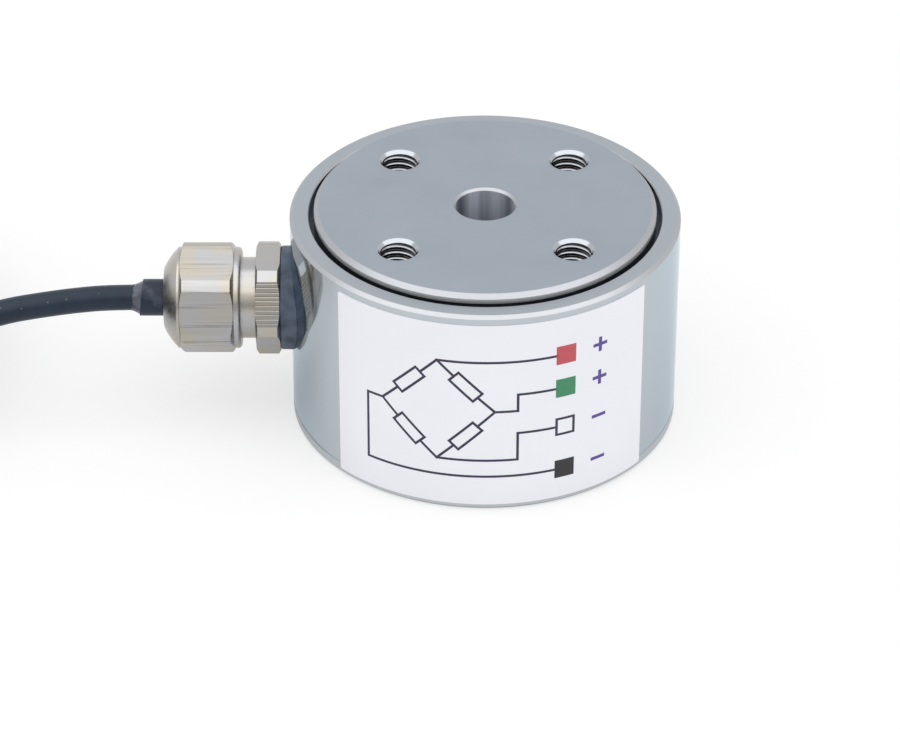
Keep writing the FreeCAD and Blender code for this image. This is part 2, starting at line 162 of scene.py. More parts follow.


# one-piece spring element: alloy steel, ground flat and matt nickel plated;
# the side that stands out of the sleeve is painted lighter as painted light, down in the gap it is painted
# dark as painted shade, chamfers are freshly cut and neutral, and the bore is finished by reaming, its
# broad dark streaks seeded to give painted shade on its sides;
# real turned lines are finer than drawn
def platedSpringSteel():
    material, add, place = newMaterial("matt nickel-plated spring steel")
    plated, satin, grain = mattNickel(add, place)
    up = facingUp(add)
    tilt = add("Math", {0: up}, operation="ABSOLUTE")
    side = add("Math", {0: tilt, 1: 0.3}, operation="LESS_THAN")  # upright faces
    slope = add("Math", {0: up, 1: chamfer["up"], 2: chamfer["spread"]}, operation="COMPARE")
    height = add("SeparateXYZ", {0: place}).outputs["Z"]
    proud = add("Math", {0: height, 1: flange["gapTop"] * mm}, operation="GREATER_THAN")
    upper = add("Math", {0: height, 1: flange["foot"] * mm}, operation="GREATER_THAN")
    sunk = add("Math", {0: upper, 1: proud}, operation="SUBTRACT")
    # the wall down in the ring gap is painted dark: painted shade
    paintedGapShade = add("Math", {0: sunk, 1: side}, operation="MULTIPLY")
    # the wall that stands out of the sleeve is painted lighter: painted light
    edge = add("Math", {0: proud, 1: side}, operation="MULTIPLY")
    cut = add("Math", {0: slope, 1: upper}, operation="MULTIPLY")

    # the bore: fine scores, and broad streaks along it that make its sides darker: painted shade
    across = add("VectorMath", {0: place, 1: (1, 1, 0.04)}, operation="MULTIPLY")  # long in Z
    radius = add("VectorMath", {0: across}, operation="LENGTH")
    bored = add("Math", {0: radius, 1: flange["boreEdge"] * mm}, operation="LESS_THAN")
    inBore = add("Math", {0: bored, 1: side}, operation="MULTIPLY")
    scores = add("TexNoise", {"Vector": across, "Scale": perMm(0.45), "Detail": 3.0})
    scored = add("Mix", {"Factor": scores, "A": "#C2C7D1", "B": "#F3F6FE"}, data_type="RGBA")
    streaks = add("TexNoise", {"Vector": across, "W": flange["boreSideShadeSeed"],
                               "Scale": perMm(2.6), "Detail": 1.0}, noise_dimensions="4D")
    bright = add("MapRange", {"Value": streaks, "From Min": 0.33, "From Max": 0.62})
    # the dark colour of the broad streaks is painted shade on the bore's sides
    reamedAndShaded = add("Mix", {"Factor": bright, "A": "#7C808B", "B": scored}, data_type="RGBA")

    colour = plated
    for share, over in ((side, "#BEC3C6"), (edge, "#DADCDC"), (paintedGapShade, "#6C7078"), (cut, "#ACAEB2"),
                        (inBore, reamedAndShaded)):
        colour = add("Mix", {"Factor": share, "A": colour, "B": over}, data_type="RGBA")
    dullness = satin
    for share, over in ((edge, 0.48), (inBore, 0.7)):
        dullness = add("Mix", {"Factor": share, "A": dullness, "B": over})
    lines = turnedLines(add, place, 0.25)
    marks = add("Math", {0: grain, 1: lines}, operation="ADD")
    return finished(material, {"Metallic": 1.0, "Base Color": colour, "Roughness": dullness},
                    marks, depthMm=0.003, edgeMm=0.05)


# tapped holes: plated crests and countersinks, with the thread roots painted dark as painted shade;
# the land round a hole is level with the flange's face and plated like it
def tappedSteel():
    material, add, place = newMaterial("tapped plated steel")
    groove = add("Attribute", attribute_name="groove").outputs["Fac"]
    film = add("TexNoise", {"Vector": place, "Scale": perMm(0.5), "Detail": 2.0})
    # the dark colour in the thread roots is painted shade
    paintedRootShade = add("Mix", {"Factor": film, "A": "#2C2A2C", "B": "#4C494B"}, data_type="RGBA")
    shadowed = add("MapRange", {"Value": groove, "From Min": 0.12, "From Max": 0.5})
    threaded = add("Mix", {"Factor": shadowed, "A": "#ADB1B7", "B": paintedRootShade}, data_type="RGBA")
    gloss = add("MapRange", {"Value": film, "To Min": 0.12, "To Max": 0.22})
    plated, satin, _ = mattNickel(add, place)
    level = add("Math", {0: facingUp(add)}, operation="ABSOLUTE")
    land = add("Math", {0: level, 1: 0.95}, operation="GREATER_THAN")  # nothing else is as level
    colour = add("Mix", {"Factor": land, "A": threaded, "B": plated}, data_type="RGBA")
    dullness = add("Mix", {"Factor": land, "A": gloss, "B": satin})
    return finished(material, {"Metallic": 1.0, "Base Color": colour, "Roughness": dullness})


# housing sleeve: drawn tube, polished on the outside so that it mirrors the gland and the floor,
# with faint lines round it and a satin end face
def polishedSleeveSteel():
    material, add, place = newMaterial("polished sleeve steel")
    up = facingUp(add)
    endFace = add("MapRange", {"Value": up, "From Min": 0.35, "From Max": 0.65})
    slope = add("Math", {0: up, 1: chamfer["up"], 2: chamfer["spread"]}, operation="COMPARE")
    faced = add("Mix", {"Factor": endFace, "A": "#BBC1C6", "B": "#A9AEB4"}, data_type="RGBA")
    colour = add("Mix", {"Factor": slope, "A": faced, "B": "#B0B2B5"}, data_type="RGBA")
    smears = add("TexNoise", {"Vector": place, "Scale": perMm(6), "Detail": 4.0})
    polish = add("MapRange", {"Value": smears, "To Min": 0.05, "To Max": 0.14})
    dullness = add("Mix", {"Factor": endFace, "A": polish, "B": 0.32})
    lines = turnedLines(add, place, 0.3)
    return finished(material, {"Metallic": 1.0, "Base Color": colour, "Roughness": dullness,
                               "Specular Tint": "#E8F1F8"}, lines, depthMm=0.0015, edgeMm=0.05)


gland = {  # millimetres
    "axisHeight": 14.25,
    "barRadius": 5.95,  # further out than this is the bar's hexagon
    "nutStart": -28.2,  # the nut lies beyond this, the body this side of it
    "scoredFlat": 24.2, "flatWithin": 0.97,  # degrees up from level, and a cosine only this flat reaches
    "scorePitch": 0.26, "scoreShare": 0.45,  # half the spacing of its lines, and how much of that is cut
    "scoreWander": 0.25, "scoreLean": 0.05,  # how far they stray, and how much they lean along the bar
    "scoreDepth": 3.0,  # as a share of the drawn lines' depth
}


# gland body and nut: hexagon brass bar, nickel plated; warm and cool greys, drawn lines along the flats,
# sawn-looking scores on one flat of the body, and a smooth turned finish on what is round
def platedBrass():
    material, add, place = newMaterial("nickel-plated brass")
    fromAxis = add("VectorMath", {0: place, 1: (0, 0, gland["axisHeight"] * mm)}, operation="SUBTRACT")
    across = add("VectorMath", {0: fromAxis, 1: (0, 1, 1)}, operation="MULTIPLY")
    radius = add("VectorMath", {0: across}, operation="LENGTH")
    onBar = add("Math", {0: radius, 1: gland["barRadius"] * mm}, operation="GREATER_THAN")
    drawn = add("VectorMath", {0: fromAxis, 1: (0.02, 1, 1)}, operation="MULTIPLY")  # long in X
    streaks = add("TexNoise", {"Vector": drawn, "Scale": perMm(0.5), "Detail": 3.0, "Roughness": 0.65})
    clouds = add("TexNoise", {"Vector": place, "Scale": perMm(4), "Detail": 1.0})
    patches = add("MapRange", {"Value": clouds, "From Min": 0.38, "From Max": 0.62})
    plated = add("Mix", {"Factor": patches, "A": "#B3ADA1", "B": "#AEAEAF"}, data_type="RGBA")

    # the scored flat: the body's flat that faces this way, on this side of the nut
    tilt = math.radians(gland["scoredFlat"])
    pitch = gland["scorePitch"] * mm
    normal = add("NewGeometry").outputs["Normal"]
    facing = add("VectorMath", {0: normal, 1: (0, -math.cos(tilt), math.sin(tilt))},
                 operation="DOT_PRODUCT")
    onFlat = add("Math", {0: facing, 1: gland["flatWithin"]}, operation="GREATER_THAN")
    along = add("SeparateXYZ", {0: place}).outputs["X"]
    onBody = add("Math", {0: along, 1: gland["nutStart"] * mm}, operation="GREATER_THAN")
    scored = add("Math", {0: onFlat, 1: onBody}, operation="MULTIPLY")
    scored = add("Math", {0: scored, 1: onBar}, operation="MULTIPLY")
    downFlat = add("VectorMath", {0: drawn, 1: (gland["scoreLean"], math.sin(tilt), math.cos(tilt))},
                   operation="DOT_PRODUCT")
    wander = add("Math", {0: streaks, 1: gland["scoreWander"] * mm, 2: downFlat}, operation="MULTIPLY_ADD")
    tooth = add("Math", {0: wander, 1: pitch}, operation="PINGPONG")
    groove = add("MapRange", {"Value": tooth, "From Max": gland["scoreShare"] * pitch,
                              "To Min": 1.0, "To Max": 0.0})
    scores = add("Math", {0: groove, 1: scored}, operation="MULTIPLY")

    # the nut's flats: drawn lines, the deepest of them stained
    onNut = add("Math", {0: onBar, 1: onBody}, operation="GREATER_THAN")
    stained = add("MapRange", {"Value": streaks, "From Min": 0.36, "From Max": 0.43,
                               "To Min": 0.4, "To Max": 0.0})
    stains = add("Math", {0: stained, 1: onNut}, operation="MULTIPLY")
    dark = add("Math", {0: scores, 1: stains}, operation="MAXIMUM")
    colour = add("Mix", {"Factor": dark, "A": plated, "B": "#55534F"}, data_type="RGBA")
    dullness = add("MapRange", {"Value": streaks, "To Min": 0.18, "To Max": 0.42})
    lines = add("Math", {0: streaks, 1: onNut}, operation="MULTIPLY")
    marks = add("Math", {0: scores, 1: -gland["scoreDepth"], 2: lines}, operation="MULTIPLY_ADD")
    return finished(material, {"Metallic": 1.0, "Base Color": colour, "Roughness": dullness},
                    marks, depthMm=0.02, edgeMm=0.07)


# bead in the ring gap: soft silicone, near black with a dull skin
def siliconeBead():
    return twoTone("silicone sealing bead", "#4C5260", "#5A6170", {"Roughness": 0.55, "IOR": 1.43},
                   patternMm=1.2, detail=3.0, depthMm=0.08)


# label: white vinyl film, nearly matt and a little cool
def labelFilm():
    material, add, place = newMaterial("white vinyl film")
    tooth = add("TexNoise", {"Vector": place, "Scale": perMm(0.35), "Detail": 3.0})
    clouds = add("TexNoise", {"Vector": place, "Scale": perMm(11), "Detail": 1.0})
    colour = add("Mix", {"Factor": clouds, "A": "#E9EAF0", "B": "#EEEFF4"}, data_type="RGBA")
    dullness = add("MapRange", {"Value": tooth, "To Min": 0.42, "To Max": 0.58})
    return finished(material, {"Base Color": colour, "Roughness": dullness, "IOR": 1.5,
                               "Specular IOR Level": 0.35}, tooth, depthMm=0.004)


# print on the label: screen ink, a thin even layer with a slight gloss
def screenInk(name, hexText):
    return twoTone(f"screen ink {name}", hexText, deepened(hexText, 0.9), {"Roughness": 0.4, "IOR": 1.5},
                   patternMm=0.4, detail=2.0, depthMm=0.002)


gaugeGrid = {"step": 0.3, "gap": 0.15, "half": 1.7}  # millimetres; half is half its width


# strain gauges: amber polyimide carrier with a metal grid on its middle, its lines coarser than real ones
def gaugeFoil():
    material, add, place = newMaterial("polyimide gauge foil")
    parts = add("SeparateXYZ", {0: place}).outputs
    onX, onY = (add("Math", {0: part}, operation="ABSOLUTE") for part in parts[:2])
    sideways = add("Math", {0: onX, 1: onY}, operation="MINIMUM")
    wave = add("Math", {0: sideways, 1: gaugeGrid["step"] * mm}, operation="PINGPONG")
    line = add("Math", {0: wave, 1: gaugeGrid["gap"] * mm}, operation="GREATER_THAN")
    inside = add("Math", {0: sideways, 1: gaugeGrid["half"] * mm}, operation="LESS_THAN")
    grid = add("Math", {0: line, 1: inside}, operation="MULTIPLY")
    colour = add("Mix", {"Factor": grid, "A": "#B4691F", "B": "#B9B2A2"}, data_type="RGBA")
    return finished(material, {"Base Color": colour, "Metallic": grid, "Roughness": 0.3,
                               "IOR": 1.6}, grid, depthMm=0.01)


wavePeriod = 0.314  # of a wave texture at scale 1


# wiring board: glass-epoxy under green solder mask, its weave just showing
def solderMask():
    material, add, place = newMaterial("solder-masked board")
    warp, weft = (add("TexWave", {"Vector": place, "Scale": wavePeriod * perMm(0.8),
                                  "Distortion": 0.6}, bands_direction=way).outputs["Fac"]
                  for way in ("X", "Y"))
    weave = add("Math", {0: warp, 1: weft}, operation="MULTIPLY")
    colour = add("Mix", {"Factor": weave, "A": "#14532F", "B": "#1D6B40"}, data_type="RGBA")
    return finished(material, {"Base Color": colour, "Roughness": 0.32, "IOR": 1.5}, weave, depthMm=0.006)


chips = {  # degrees round the board
    "pairAt": 122.5, "apart": 12.5,  # middle of the pair on each side, and from there to a chip
    "half": 2.7,  # from a chip's middle to its tinned ends
}


# trim resistors: black glazed chips with tinned ends
def chipGlaze():
    material, add, place = newMaterial("glazed chip with tinned ends")
    parts = add("SeparateXYZ", {0: place}).outputs
    offset = add("Math", {0: parts[1], 1: parts[0]}, operation="ARCTAN2")
    offset = add("Math", {0: offset}, operation="ABSOLUTE")
    for step in (chips["pairAt"], chips["apart"]):  # both sides, pairs and chips fold into one
        offset = add("Math", {0: offset, 1: math.radians(step)}, operation="SUBTRACT")
        offset = add("Math", {0: offset}, operation="ABSOLUTE")
    ends = add("Math", {0: offset, 1: math.radians(chips["half"])}, operation="GREATER_THAN")
    colour = add("Mix", {"Factor": ends, "A": "#1E1F22", "B": "#C9C8C4"}, data_type="RGBA")
    grain = add("TexNoise", {"Vector": place, "Scale": perMm(0.3), "Detail": 2.0})
    return finished(material, {"Base Color": colour, "Metallic": ends, "Roughness": 0.3},
                    grain, depthMm=0.01)


# gauge wires: copper under clear enamel
def enamelledCopper():
    material, add, place = newMaterial("enamelled copper")
    tint = add("TexNoise", {"Vector": place, "Scale": perMm(1.5), "Detail": 2.0})
    colour = add("Mix", {"Factor": tint, "A": "#9E4A22", "B": "#BE6A38"}, data_type="RGBA")
    return finished(material, {"Base Color": colour, "Metallic": 1.0, "Roughness": 0.25,
                               "Coat Weight": 0.6, "Coat Roughness": 0.1})


# washer, gland seal: moulded rubber, dull slate black with a bloom on it and a pebbled skin
def mouldedRubber(name, dark, pale):
    material, add, place = newMaterial(name)
    bloom = add("TexNoise", {"Vector": place, "Scale": perMm(1.6), "Detail": 4.0})
    patches = add("MapRange", {"Value": bloom, "From Min": 0.35, "From Max": 0.65})
    colour = add("Mix", {"Factor": patches, "A": dark, "B": pale}, data_type="RGBA")
    skin = add("TexNoise", {"Vector": place, "Scale": perMm(0.25), "Detail": 2.0})
    dullness = add("MapRange", {"Value": skin, "To Min": 0.42, "To Max": 0.62})
    return finished(material, {"Base Color": colour, "Roughness": dullness, "IOR": 1.52,
                               "Specular IOR Level": 0.4}, skin, depthMm=0.012, edgeMm=0.05)


# claw: moulded polyamide, ivory with a faint flow pattern
def clawPolyamide():
    material, add, place = newMaterial("moulded polyamide")
    flow = add("TexNoise", {"Vector": place, "Scale": perMm(1.4), "Detail": 3.0, "Distortion": 1.0})
    colour = add("Mix", {"Factor": flow, "A": "#D9D4C4", "B": "#E4E0D3"}, data_type="RGBA")
    return finished(material, {"Base Color": colour, "Roughness": 0.4, "IOR": 1.53,
                               "Subsurface Weight": 0.15, "Subsurface Scale": 0.5 * mm}, flow, depthMm=0.01)


# shrink sleeves: polyolefin, dark with a soft gloss, fine wrinkles along it and paler where it is rubbed
def shrunkPolyolefin():
    material, add, place = newMaterial("heat-shrunk polyolefin")
    lengthwise = add("VectorMath", {0: place, 1: (0.15, 1, 1)}, operation="MULTIPLY")  # long in X
    wrinkles = add("TexNoise", {"Vector": lengthwise, "Scale": perMm(0.5), "Detail": 4.0})
    scuffs = add("TexNoise", {"Vector": place, "Scale": perMm(1.4), "Detail": 4.0})
    rubbed = add("MapRange", {"Value": scuffs, "From Min": 0.5, "From Max": 0.75})
    skin = add("Mix", {"Factor": wrinkles, "A": "#1A2132", "B": "#272F43"}, data_type="RGBA")
    colour = add("Mix", {"Factor": rubbed, "A": skin, "B": "#484E5C"}, data_type="RGBA")
    dullness = add("MapRange", {"Value": wrinkles, "To Min": 0.34, "To Max": 0.52})
    return finished(material, {"Base Color": colour, "Roughness": dullness, "IOR": 1.49,
                               "Specular IOR Level": 0.3}, wrinkles, depthMm=0.03, edgeMm=0.06)


# glue at the shrink sleeve's end: hot melt, grey and half clear
def hotMelt():
    material, add, place = newMaterial("hot-melt glue")
    runs = add("TexNoise", {"Vector": place, "Scale": perMm(1.3), "Detail": 4.0})
    thin = add("MapRange", {"Value": runs, "From Min": 0.35, "From Max": 0.65})
    colour = add("Mix", {"Factor": thin, "A": "#2B313D", "B": "#5E6472"}, data_type="RGBA")
    return finished(material, {"Base Color": colour, "Roughness": 0.3, "IOR": 1.48,
                               "Subsurface Weight": 0.2, "Subsurface Scale": 0.3 * mm}, runs, depthMm=0.1)


# cable jacket: extruded PVC, slate black, dull and finely pebbled, with a few pale specks of dust
def pvcJacket():
    material, add, place = newMaterial("extruded PVC jacket")
    shade = add("TexNoise", {"Vector": place, "Scale": perMm(2.5), "Detail": 3.0})
    body = add("Mix", {"Factor": shade, "A": "#111F2E", "B": "#1E2E3F"}, data_type="RGBA")
    cells = add("TexVoronoi", {"Vector": place, "Scale": perMm(1.7)})
    specks = add("MapRange", {"Value": cells, "From Min": 0.03, "From Max": 0.09,
                              "To Min": 0.2, "To Max": 0.0})
    colour = add("Mix", {"Factor": specks, "A": body, "B": "#A9B0BC"}, data_type="RGBA")
    pebbles = add("TexNoise", {"Vector": place, "Scale": perMm(0.22), "Detail": 3.0})
    dullness = add("MapRange", {"Value": pebbles, "To Min": 0.32, "To Max": 0.52})
    return finished(material, {"Base Color": colour, "Roughness": dullness, "IOR": 1.53,
                               "Specular IOR Level": 0.3}, pebbles, depthMm=0.02)


# coil ties: moulded nylon, black with a slight gloss
def tieNylon():
    return twoTone("moulded nylon tie", "#1D1E21", "#2A2B30", {"Roughness": 0.36, "IOR": 1.53},
                   patternMm=1.2, detail=2.0, depthMm=0.02, edgeMm=0.15)


# leads and cores: thin extruded insulation, smooth with a slight sheen
def leadInsulation(name, hexText):
    return twoTone(f"extruded insulation {name}", hexText, deepened(hexText, 0.88),
                   {"Roughness": 0.38, "IOR": 1.5}, patternMm=0.6, detail=2.0, depthMm=0.01)


# bare ends and drain wire: fine copper strands under tin, grey and dull
def tinnedCopper():
    material, add, place = newMaterial("tinned copper strands")
    strands = add("TexWave", {"Vector": place, "Scale": wavePeriod * perMm(0.35), "Distortion": 1.5,
                              "Detail": 1.0}, bands_direction="DIAGONAL").outputs["Fac"]
    colour = add("Mix", {"Factor": strands, "A": "#B4B3AE", "B": "#CFCEC9"}, data_type="RGBA")
    return finished(material, {"Base Color": colour, "Metallic": 1.0, "Roughness": 0.32},
                    strands, depthMm=0.03)


# each finish by its slot, with the nodes that wear it
worn = [
    ("spring_steel", platedSpringSteel(), "spring_element"),
    ("tapped_steel", tappedSteel()),
    ("sleeve_steel", polishedSleeveSteel(), "housing_sleeve"),
    ("seal_compound", siliconeBead(), "gap_seal"),
    ("label_film", labelFilm(), "label"),
    ("gauge_foil", gaugeFoil(), "strain_gauges"),
    ("board", solderMask(), "terminal_board"),
    ("resistor", chipGlaze(), "trim_resistors"),
    ("enamelled_copper", enamelledCopper(), "gauge_wires"),
    ("nickel_plate", platedBrass(), "gland_body", "gland_nut"),
    ("washer_rubber", mouldedRubber("moulded washer rubber", "#323C4B", "#4F5B6C"), "gland_washer"),
    ("seal_rubber", mouldedRubber("moulded seal rubber", "#1C1C20", "#2A2A2F"), "gland_seal"),
    ("claw_polyamide", clawPolyamide(), "gland_claw"),
    ("shrink_sleeve", shrunkPolyolefin(), "heat_shrink", "end_sleeve"),
    ("adhesive", hotMelt()),
    ("cable_jacket", pvcJacket(), "cable_inner_end"),
    ("tie_nylon", tieNylon(), "coil_ties"),
    ("tinned_copper", tinnedCopper(), "lead_tips", "core_shield"),
]
insulation = {"red": "#B3262A", "white": "#E4E3DD", "green": "#1F7A45", "black": "#222327"}
for colour, hexText in insulation.items():
    worn.append((f"{colour}_insulation", leadInsulation(colour, hexText), f"core_{colour}"))
finishes = {}
for slot, finish, *names in worn:
    finishes[slot] = finish
    for name in names:
        for materialSlot in nodes[name].material_slots:
            materialSlot.material = finish
print("finishes: ", len(finishes))


# tapped holes: thread and countersink lining the plain holes of the frame;
# every length is a float in millimetres, every count a whole number
tapping = {
    "crest": 1.91, "root": 2.29, "pitch": 0.8,  # radii and pitch of the internal thread
    "lead": 0.496,  # by which the thread starts early
    "plainMouth": 0.36, "runIn": 0.3,  # depth of the bare countersink, and over which the thread deepens
    "wall": 2.49, "coneDepth": 0.1,  # the liner's outside, just inside the hole and its countersink
    "land": 0.19,  # flat rim round the countersink
    "depth": 5.8, "boltCircle": 14.0, "topFace": 27.0,  # of the holes, the circle by its radius
    "weld": 0.002,  # closes the rolled seam
    "segments": 64, "rows": 100, "holes": 4,
}


def threadTree(spec):
    tree = bpy.data.node_groups.new("tapped holes", "GeometryNodeTree")
    add = partial(addNode, tree)
    tree.interface.new_socket("Geometry", in_out="OUTPUT", socket_type="NodeSocketGeometry")
    kinds = {int: "NodeSocketInt", float: "NodeSocketFloat"}
    for name, value in spec.items():
        tree.interface.new_socket(name, in_out="INPUT", socket_type=kinds[type(value)])
    sizes = add("NodeGroupInput").outputs

    # a flat grid is rolled up: X goes round the hole, Y goes down the thread and back up the outside
    around = add("Math", {0: sizes["segments"], 1: 1.0}, operation="ADD")
    sheet = add("GeometryNodeMeshGrid", {"Size X": 1.0, "Size Y": 1.0, "Vertices X": around,
                                         "Vertices Y": sizes["rows"]}).outputs["Mesh"]
    flat = add("SeparateXYZ", {0: add("GeometryNodeInputPosition")}).outputs
    turn, down = (add("Math", {0: part, 1: 0.5}, operation="ADD") for part in flat[:2])
    last = add("Math", {0: sizes["rows"], 1: 1.0}, operation="SUBTRACT")
    row = add("Math", {0: down, 1: last}, operation="MULTIPLY")
    toEnd = add("Math", {0: last, 1: row}, operation="SUBTRACT")

    # the last three rows: outside at the bottom, outside under the countersink, and the mouth again
    threadEnd = add("Math", {0: last, 1: 3.0}, operation="SUBTRACT")
    share = add("MapRange", {"Value": row, "From Min": 1.0, "From Max": threadEnd})
    goingDown = add("Math", {0: toEnd, 1: 1.5}, operation="GREATER_THAN")
    underCone = add("Math", {0: toEnd, 1: 1.0, 2: 0.5}, operation="COMPARE")
    deep = add("Math", {0: share, 1: sizes["depth"]}, operation="MULTIPLY")
    deep = add("Math", {0: deep, 1: goingDown}, operation="MULTIPLY")
    fall = add("Math", {0: underCone, 1: sizes["coneDepth"], 2: deep}, operation="MULTIPLY_ADD")

    # right-hand thread: a narrow flat crest, a flat root and straight flanks
    early = add("Math", {0: fall, 1: sizes["lead"]}, operation="ADD")
    climbed = add("Math", {0: early, 1: sizes["pitch"]}, operation="DIVIDE")
    phase = add("Math", {0: climbed, 1: turn}, operation="ADD")
    tooth = add("Math", {0: phase, 1: 0.5}, operation="PINGPONG")
    cutting = add("MapRange", {"Value": tooth, "From Min": 0.05, "From Max": 0.4})
    fullDepth = add("Math", {0: sizes["plainMouth"], 1: sizes["runIn"]}, operation="ADD")
    begun = add("MapRange", {"Value": fall, "From Min": sizes["plainMouth"], "From Max": fullDepth})
    cutting = add("Math", {0: cutting, 1: begun}, operation="MULTIPLY")
    thread = add("MapRange", {"Value": cutting, "To Min": sizes["crest"], "To Max": sizes["root"]})
    mouth = add("Math", {0: sizes["wall"], 1: sizes["coneDepth"]}, operation="ADD")
    inMouth = add("Math", {0: mouth, 1: sizes["land"]}, operation="SUBTRACT")
    cone = add("Math", {0: inMouth, 1: fall}, operation="SUBTRACT")
    lining = add("Math", {0: thread, 1: cone}, operation="MAXIMUM")
    belowCone = add("Math", {0: thread, 1: cone}, operation="GREATER_THAN")
    groove = add("Math", {0: cutting, 1: belowCone}, operation="MULTIPLY")

    # radius of each row: the mouth's rim first and last, the thread, and the outer wall
    fromTop = add("Math", {0: row, 1: 0.5}, operation="GREATER_THAN")
    beforeTop = add("Math", {0: toEnd, 1: 0.5}, operation="GREATER_THAN")
    onThread = add("Math", {0: toEnd, 1: 2.5}, operation="GREATER_THAN")
    onWall = add("Math", {0: fromTop, 1: beforeTop}, operation="MULTIPLY")
    inside = add("Math", {0: fromTop, 1: onThread}, operation="MULTIPLY")
    outside = add("Mix", {"Factor": onWall, "A": mouth, "B": sizes["wall"]})
    radius = add("Mix", {"Factor": inside, "A": outside, "B": lining})

    angle = add("Math", {0: turn, 1: math.tau}, operation="MULTIPLY")
    ways = [add("Math", {0: angle}, operation=wave) for wave in ("COSINE", "SINE")]
    ringX, ringY = (add("Math", {0: radius, 1: way}, operation="MULTIPLY") for way in ways)
    height = add("Math", {0: fall, 1: -1.0}, operation="MULTIPLY")
    rolled = add("CombineXYZ", {0: ringX, 1: ringY, 2: height})
    marked = add("GeometryNodeStoreNamedAttribute", {"Geometry": sheet, "Name": "groove", "Value": groove})
    offLand = add("Math", {0: row, 1: 1.0}, operation="GREATER_THAN")
    smooth = add("GeometryNodeSetShadeSmooth", {"Geometry": marked, "Shade Smooth": offLand})
    tube = add("GeometryNodeSetPosition", {"Geometry": smooth, "Position": rolled})
    tube = add("GeometryNodeMergeByDistance", {"Geometry": tube, "Distance": sizes["weld"]})

    # one liner in each hole of both faces, those of the lower face turned over
    circle = add("GeometryNodeMeshCircle", {"Vertices": sizes["holes"], "Radius": sizes["boltCircle"]})
    halfStep = add("Math", {0: math.pi, 1: sizes["holes"]}, operation="DIVIDE")
    spun = add("CombineXYZ", {2: halfStep})
    lower = add("GeometryNodeTransform", {"Geometry": circle, "Rotation": spun})
    lift = add("CombineXYZ", {2: sizes["topFace"]})
    upper = add("GeometryNodeTransform", {"Geometry": lower, "Translation": lift})
    both = add("GeometryNodeJoinGeometry")
    for points, turned in ((upper, (0, 0, 0)), (lower, (math.pi, 0, 0))):
        half = add("GeometryNodeInstanceOnPoints", {"Points": points, "Instance": tube, "Rotation": turned})
        tree.links.new(half.outputs[0], both.inputs[0])
    real = add("GeometryNodeRealizeInstances", {"Geometry": both})
    dressed = add("GeometryNodeSetMaterial", {"Geometry": real, "Material": finishes["tapped_steel"]})
    add("NodeGroupOutput", {0: dressed})
    return tree


def grown(name, tree, spec):
    # runs a Geometry Nodes tree with a piece's sizes and keeps the result as a plain mesh
    obj = newObject(name, bpy.data.meshes.new(name))
    modifier = obj.modifiers.new("nodes", "NODES")
    modifier.node_group = tree
    for socket in tree.interface.items_tree:
        if socket.in_out == "INPUT":
            value = spec[socket.name]
            modifier[socket.identifier] = value * mm if isinstance(value, float) else value
    evaluated = obj.evaluated_get(bpy.context.evaluated_depsgraph_get())
    mesh = bpy.data.meshes.new_from_object(evaluated)
    obj.modifiers.remove(modifier)
    obj.data = mesh
    mesh.name = name
    return obj


threads = grown("hole_threads", threadTree(tapping), tapping)
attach(threads, "root")
print("threads: ", len(threads.data.polygons), "faces")


# wiring print on the label: a gauge bridge and its four terminals, plain signs only;
# millimetres across the label from the front and up from the foot
wiringPrint = {
    "line": 0.3, "ink": 0.015, "lift": 0.003,  # width, thickness and height off the film
    "step": 0.7,  # longest facet of a strip
    "bridge": (-5.6, 13.4), "reach": 6.6,  # middle and half diagonal
    "gaugeLength": 3.8, "gaugeWidth": 1.5,  # the box on each arm
    "bendAt": 3.6, "returnAt": -14.2,  # where the lines from the corners turn
    "terminalAt": 9.2, "terminalSize": 2.4,
    "signAt": 13.6, "signSize": 1.9, "signLine": 0.42,
    "terminals": [(20.0, "red", "+"), (15.6, "green", "+"), (10.4, "white", "-"), (4.6, "black", "-")],
    "inks": {"indigo": "#2F2946", "violet": "#5B4398", "red": "#C6505A", "green": "#3C8A60",
             "black": "#232228"},
}
wiringPrint["radius"] = -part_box("label")[0][1] / mm + wiringPrint["lift"]


def inkStrip(shape, start, end, width):
    # a thin closed strip of ink, wrapped round the sleeve
    start, end = Vector(start), Vector(end)
    sideways = (end - start).orthogonal().normalized() * width / 2
    count = max(1, math.ceil((end - start).length / wiringPrint["step"]))
    radius, thick = wiringPrint["radius"], wiringPrint["ink"]
    vertices, faces = shape
    first = len(vertices)
    for index in range(count + 1):
        middle = start.lerp(end, index / count)
        near, far = middle - sideways, middle + sideways
        for flat, rise in ((near, 0), (far, 0), (far, thick), (near, thick)):
            angle = flat[0] / radius
            reach = (radius + rise) * mm
            vertices.append((reach * math.sin(angle), -reach * math.cos(angle), flat[1] * mm))
    for index in range(count):
        here = first + 4 * index
        for corner in range(4):
            after = (corner + 1) % 4
            faces.append((here + corner, here + after, here + 4 + after, here + 4 + corner))
    faces.append((first + 3, first + 2, first + 1, first))
    last = first + 4 * count
    faces.append((last, last + 1, last + 2, last + 3))


def inkPath(shape, points):
    width = wiringPrint["line"]
    for start, end in zip(points, points[1:]):
        lead = (Vector(end) - Vector(start)).normalized() * width / 2  # fills the corners
        inkStrip(shape, Vector(start) - lead, Vector(end) + lead, width)


def inkFrame(shape, middle, along, length, width):
    # an open box, its long side in the given direction
    along = Vector(along).normalized() * length / 2
    across = along.orthogonal().normalized() * width / 2
    middle = Vector(middle)
    corners = [middle - along - across, middle + along - across,
               middle + along + across, middle - along + across]
    inkPath(shape, corners + corners[:1])


